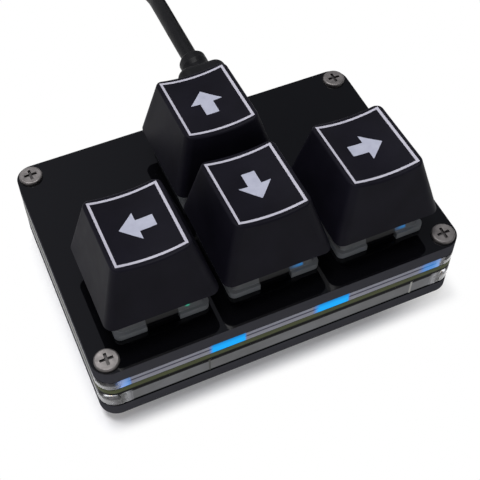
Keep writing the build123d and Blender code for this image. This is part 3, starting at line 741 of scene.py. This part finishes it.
def make_cord(material):
    """The whole lead as one smooth line: from the plug, round the coil and up to the host plug."""
    places = (*lead_route, *coil_corners(), *tail_route)
    route = [[value * MM for value in place] for place in places]
    curve = round_curve("lead", "NURBS", [route], cable_radius * MM, sides=6)
    spline = curve.splines[0]
    spline.order_u = 3
    spline.use_endpoint_u = True
    spline.resolution_u = 6
    curve.materials.append(material)
    lead = bpy.data.objects.new("lead", curve)
    scene.collection.objects.link(lead)
    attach(lead, "case")
    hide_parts("cable", "cable_coil", "cable_tail")
    return lead


def keycap_top(key):
    """Middle of a keycap's tilted top, and its directions across, along and off it."""
    low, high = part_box(f"{key}_keycap")
    middle = (low + high) / 2
    rise = (keycap_front + keycap_back) / 2
    centre = Vector((middle.x, middle.y + keycap_top_shift * MM, low.z + rise * MM))
    tilt = math.atan2(keycap_back - keycap_front, keycap_top_width)
    along = Vector((0, math.cos(tilt), math.sin(tilt)))
    return centre, Vector((1, 0, 0)), along, Vector((0, -math.sin(tilt), math.cos(tilt)))


def print_on_key(key, name, shapes, material):
    """Thin print on a keycap's dished top, from flat shapes given in millimetres across and along it."""
    sketch = bmesh.new()
    for shape in shapes:
        sketch.faces.new([sketch.verts.new((x, y, 0)) for x, y in shape])
    cuts = int(keycap_top_length / print_step)
    for cut in range(1, cuts):
        line = (cut * print_step - keycap_top_length / 2, 0, 0)
        everything = [*sketch.verts, *sketch.edges, *sketch.faces]
        bmesh.ops.bisect_plane(sketch, geom=everything, plane_co=line, plane_no=(1, 0, 0))
    bmesh.ops.remove_doubles(sketch, verts=sketch.verts, dist=same_point)
    raised = bmesh.ops.extrude_face_region(sketch, geom=sketch.faces[:])
    for part in raised["geom"]:
        if isinstance(part, bmesh.types.BMVert):
            part.co.z = 1
    half = keycap_top_length / 2
    radius = (half**2 + dish_depth**2) / (2 * dish_depth)
    centre, across, along, off = keycap_top(key)
    # The print reaches as far into the top as it stands out of it
    for vert in sketch.verts:
        sunk = math.sqrt(radius**2 - vert.co.x**2) - radius + dish_depth
        lift = (vert.co.z - 0.5) * 2 * print_height - sunk
        vert.co = centre + (across * vert.co.x + along * vert.co.y + off * lift) * MM
    bmesh.ops.recalc_face_normals(sketch, faces=sketch.faces)
    return piece(name, finished_mesh(name, sketch), material, f"key_{key}", "keycap_plastic")


def legend_shapes():
    """The four bars of the line round a keycap's top."""
    x, y, line = legend_length / 2, legend_width / 2, legend_line
    return (
        ((-x, -y), (x, -y), (x, line - y), (-x, line - y)),
        ((-x, y - line), (x, y - line), (x, y), (-x, y)),
        ((-x, line - y), (line - x, line - y), (line - x, y - line), (-x, y - line)),
        ((x - line, line - y), (x, line - y), (x, y - line), (x - line, y - line)),
    )


def arrow_shapes(turn):
    """Head and shaft of a bold arrow that points to the back, turned counter-clockwise in degrees."""
    tip, half, stem = arrow_length / 2, arrow_width / 2, arrow_shaft / 2
    neck = tip - arrow_head
    head = ((-half, neck), (-stem, neck), (stem, neck), (half, neck), (0, tip))
    shaft = ((-stem, -tip), (stem, -tip), (stem, neck), (-stem, neck))
    way = math.radians(turn)
    cosine, sine = round(math.cos(way)), round(math.sin(way))
    return [[(x * cosine - y * sine, x * sine + y * cosine) for x, y in shape] for shape in (head, shaft)]


def make_spring(key, material):
    """Coiled return spring with closed ends."""
    low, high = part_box(f"{key}_spring")
    middle = (low + high) / 2
    radius = (high.x - low.x) / 2 - spring_wire / 2 * MM
    bottom = low.z + spring_wire / 2 * MM
    rise = high.z - low.z - spring_wire * MM
    steps = spring_turns * spring_steps
    line = []
    for step in range(steps + 1):
        share = step / steps
        eased = share - spring_closing * math.sin(2 * math.pi * share)
        angle = 2 * math.pi * spring_turns * share
        x = middle.x + radius * math.cos(angle)
        y = middle.y + radius * math.sin(angle)
        line.append((x, y, bottom + rise * eased))
    mesh = wire_mesh(f"{key}_return_spring", [line], spring_wire / 2 * MM)
    made = piece(f"{key}_return_spring", mesh, material, "case", "spring_steel", f"{key}_spring")
    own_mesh(made)


def make_threads(material):
    """Rolled threads of the four corner screws, seen through the clear sheets."""
    low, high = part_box("case_screws")
    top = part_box("top_plate")[1].z
    turns = int((top - low.z) / (thread_pitch * MM)) - 1
    lines = []
    for x in (low.x + screw_head_radius * MM, high.x - screw_head_radius * MM):
        for y in (low.y + screw_head_radius * MM, high.y - screw_head_radius * MM):
            line = []
            for step in range(turns * thread_steps):
                angle = 2 * math.pi * step / thread_steps
                climb = low.z + (0.5 + step / thread_steps) * thread_pitch * MM
                ridge = Vector((math.cos(angle), math.sin(angle), 0)) * screw_radius * MM
                line.append((x + ridge.x, y + ridge.y, climb))
            lines.append(line)
    mesh = wire_mesh("screw_threads", lines, thread_depth / 2 * MM, sides=0)
    piece("screw_threads", mesh, material, "case", "nickel_steel")


def make_clear_sheet(name, node, material):
    """Clear spacer with eased edges, a hair thinner than its solid so that air lies between the sheets."""
    low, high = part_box(node)
    middle = (low.z + high.z) / 2
    sheet = bmesh.new()
    sheet.from_mesh(nodes[node].data)
    bmesh.ops.remove_doubles(sheet, verts=sheet.verts, dist=same_point * MM)
    for vert in sheet.verts:
        vert.co.z += sheet_gap * MM * (1 if vert.co.z < middle else -1)
    bmesh.ops.dissolve_limit(sheet, angle_limit=flat_edge, verts=sheet.verts, edges=sheet.edges)
    sharp = [edge for edge in sheet.edges if edge.is_manifold and edge.calc_face_angle() > sharp_edge]
    rims = [edge for edge in sharp if abs(edge.verts[0].co.z - edge.verts[1].co.z) < same_point * MM]
    bmesh.ops.bevel(sheet, geom=rims, offset=sheet_bevel * MM, segments=2, affect="EDGES")
    bmesh.ops.triangulate(sheet, faces=sheet.faces)
    piece(name, finished_mesh(name, sheet), material, "case", "clear_acrylic", node)


def strap_loop(reach):
    """Taut loop round the four corner turns of the coil, as points along its radius and up."""
    passed = (180.0 - strap_angle) % 360 / 360
    layer_turns = coil_quarters / 4
    outer = coil_middle + coil_pitch * layer_turns / 2
    high = coil_low + coil_layer
    # The upper layer ends where the lower one begins, so its outermost turn has the rest of that turn to run
    turns = (
        (outer - coil_pitch * passed, coil_low),
        (outer - coil_pitch * (1 - passed), high),
        (outer - coil_pitch * (1 - passed) - coil_pitch * int(layer_turns), high),
        (outer - coil_pitch * passed - coil_pitch * int(layer_turns - passed), coil_low),
    )
    points = []
    for before, turn, after in zip((turns[-1], *turns), turns, (*turns[1:], turns[0])):
        start = math.atan2(before[0] - turn[0], turn[1] - before[1])
        end = math.atan2(turn[0] - after[0], after[1] - turn[1])
        swing = (end - start) % (2 * math.pi)
        for step in range(strap_steps + 1):
            angle = start + swing * step / strap_steps
            points.append((turn[0] + reach * math.cos(angle), turn[1] + reach * math.sin(angle)))
    return points


def make_strap(material):
    """Strap pulled round the coil, and its free end pressed down on top."""
    way = math.radians(strap_angle)
    outward = Vector((math.cos(way), math.sin(way), 0))
    aside = Vector((-math.sin(way), math.cos(way), 0))
    centre = Vector((*coil_place, 0))
    near = cable_radius + strap_gap
    outside, inside = strap_loop(near + strap_thickness), strap_loop(near)
    half = strap_width / 2
    sketch = bmesh.new()
    rings = []
    for loop, side in ((outside, -half), (outside, half), (inside, half), (inside, -half)):
        spots = [outward * radius + aside * side + Vector((0, 0, height)) for radius, height in loop]
        rings.append([sketch.verts.new((centre + spot) * MM) for spot in spots])
    count = len(outside)
    for first, second in zip(rings, rings[1:] + rings[:1]):
        for step in range(count):
            after = (step + 1) % count
            sketch.faces.new((first[step], first[after], second[after], second[step]))
    bottom = max(height for radius, height in outside) + strap_end_gap
    start, end = strap_end
    corners = [(start, -half), (start, half), (end, half), (end, -half)]
    faces = []
    for height in (bottom, bottom + strap_thickness):
        spots = [outward * radius + aside * side + Vector((0, 0, height)) for radius, side in corners]
        faces.append([sketch.verts.new((centre + spot) * MM) for spot in spots])
        sketch.faces.new(faces[-1])
    for step in range(len(corners)):
        after = (step + 1) % len(corners)
        sketch.faces.new((faces[0][step], faces[0][after], faces[1][after], faces[1][step]))
    bmesh.ops.recalc_face_normals(sketch, faces=sketch.faces)
    rims = [edge for edge in sketch.edges if edge.calc_face_angle() > sharp_edge]
    bmesh.ops.bevel(sketch, geom=rims, offset=strap_round * MM, segments=2, affect="EDGES")
    mesh = finished_mesh("cable_strap", sketch)
    mesh.shade_smooth()
    return piece("cable_strap", mesh, material, "case", "tie_strap", "coil_tie")


def make_contacts(material):
    """Four sprung contact strips under the tongue of the host plug: the outer two reach further."""
    low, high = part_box("host_plug_tongue")
    middle = (low.x + high.x) / 2
    sketch = bmesh.new()
    for place, length in contact_strips:
        block = bmesh.ops.create_cube(sketch, size=1.0)["verts"]
        size = Vector((contact_width, length, contact_thickness)) * MM
        setback = (contact_setback + length / 2) * MM
        centre = Vector((middle + place * MM, low.y + setback, low.z - contact_proud * MM))
        for vert in block:
            vert.co = centre + Vector(share * edge for share, edge in zip(vert.co, size))
    eased = contact_thickness / 3
    bmesh.ops.bevel(sketch, geom=sketch.edges[:], offset=eased * MM, segments=1, affect="EDGES")
    mesh = finished_mesh("host_contacts", sketch)
    return piece("host_contacts", mesh, material, "case", "contact_brass")


def dress(material, *names):
    """Give solids a material."""
    for name in names:
        mesh = nodes[name].data
        mesh.materials.clear()
        mesh.materials.append(material)


make_stage()
acrylic = black_cast_acrylic()
nickel = screw_steel()
tin = plated_metal("tinned steel", "B0B0AE", "BCBCBA", 0.28)
spring_steel = plated_metal("drawn spring steel", "8E8E90", "B2B2B4", 0.25)
brass = plated_metal("gilt brass", "B08A3A", "D0AA55", 0.25)
vinyl = moulded_plastic("satin black vinyl", "0A0A0C", "101013", 0.5, 0.004, 0.14)
rubber = moulded_plastic("black rubber", "101010", "181818", 0.8, 0.01)
resin = moulded_plastic("black epoxy", "0C0C0D", "141416", 0.6, 0.006)
nylon = moulded_plastic("grey nylon", "34343A", "404046", 0.45, 0.003)
tongue = moulded_plastic("white nylon", "C8C8C4", "DADAD6", 0.4, 0.003)
abs_plastic = keycap_plastic()
led = blue_led_resin()
line_ink = printed_ink("white ink line", "B0AEB8", "A4A2AE")
arrow_ink = printed_ink("white ink arrow", "A4A6B5", "9A9CAC")

dress(acrylic, "top_plate", "bottom_plate")
dress(board_laminate(), "circuit_board")
dress(nickel, "case_screws")
dress(tin, "usb_socket", "plug_shell", "host_plug_shell", "board_parts")
dress(rubber, "rubber_feet")
dress(resin, "controller_chip")
dress(led, "key_leds", "edge_leds")
dress(vinyl, "plug_body", "host_plug_body")
dress(tongue, "host_plug_tongue")
dress(brass, "case_inserts")
for key, turn in key_turns.items():
    dress(abs_plastic, f"{key}_keycap")
    dress(nylon, f"{key}_stem")
    dress(smoked_polycarbonate(key), f"{key}_switch_base", f"{key}_switch_cover")
    dress(brass, f"{key}_contacts")
    make_spring(key, spring_steel)
    print_on_key(key, f"{key}_line", legend_shapes(), line_ink)
    print_on_key(key, f"{key}_arrow", arrow_shapes(turn), arrow_ink)

make_threads(nickel)
make_clear_sheet("upper_clear_sheet", "upper_spacer", lit_clear_acrylic())
make_clear_sheet("lower_clear_sheet", "lower_spacer", dim_clear_acrylic())
strap = make_strap(woven_strap())
contacts = make_contacts(brass)
lead = make_cord(vinyl)
